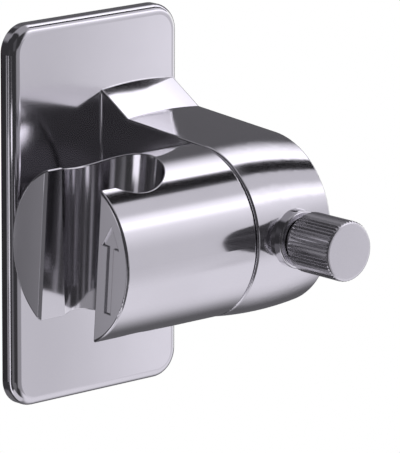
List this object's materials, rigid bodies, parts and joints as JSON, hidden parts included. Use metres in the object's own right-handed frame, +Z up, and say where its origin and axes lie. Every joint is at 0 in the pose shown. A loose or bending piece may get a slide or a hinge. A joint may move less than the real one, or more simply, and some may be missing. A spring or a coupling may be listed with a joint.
{
  "type": "hand shower holder",
  "caption": "Wall plate with a crowned arm, a swivelling barrel cradle with a tapered keyhole for a hand shower, and a fluted clamp knob.",
  "frame": {"origin": "middle of the foam pad's back face, on the wall", "axes": "+X right along the wall and along the swivel axis, +Y into the wall, +Z up"},
  "size_m": [0.067, 0.0818, 0.096],
  "materials": {
    "plated_body": "mirror chrome plating on moulded ABS",
    "plain_abs": "plain moulded ABS, fine texture",
    "plated_cradle": "mirror chrome plating on moulded ABS",
    "plated_knob": "mirror chrome plating on moulded ABS",
    "plated_bush": "chrome plating on turned brass",
    "stud_steel": "rolled thread, bright zinc",
    "screw_steel": "bright zinc",
    "foam_pad": "matt acrylic foam",
    "ring_rubber": "matt",
    "washer_nylon": "natural nylon",
    "shoe_nylon": "natural nylon"
  },
  "bodies": {
    "bracket": {"bracket_body": "plated_body", "back_plate": "plain_abs", "back_plate_screws": "screw_steel", "adhesive_pad": "foam_pad", "threaded_bush": "plated_bush"},
    "cradle": {"cradle": "plated_cradle", "swivel_o_ring": "ring_rubber", "friction_washer": "washer_nylon"},
    "clamp_shoe": {"clamp_shoe": "shoe_nylon"},
    "clamp_knob": {"clamp_knob": "plated_knob", "clamp_stud": "stud_steel"}
  },
  "joints": [
    {"name": "cradle_swivel", "type": "hinge", "parent": "bracket", "child": "cradle", "pos_m": [0.00135, -0.0416, 0], "axis": [1, 0, 0], "continuous": true},
    {"name": "clamp_travel", "type": "slide", "parent": "bracket", "child": "clamp_shoe", "axis": [0, -1, 0], "range_m": [0, 0.0015]},
    {"name": "knob_turn", "type": "hinge", "parent": "clamp_shoe", "child": "clamp_knob", "pos_m": [0.01335, -0.0679, 0], "axis": [0, -1, 0], "range_deg": [0, 540]}
  ],
  "couplings": [
    {"joint": "knob_turn", "follows": "clamp_travel", "rad_per_m": 6283.2}
  ]
}
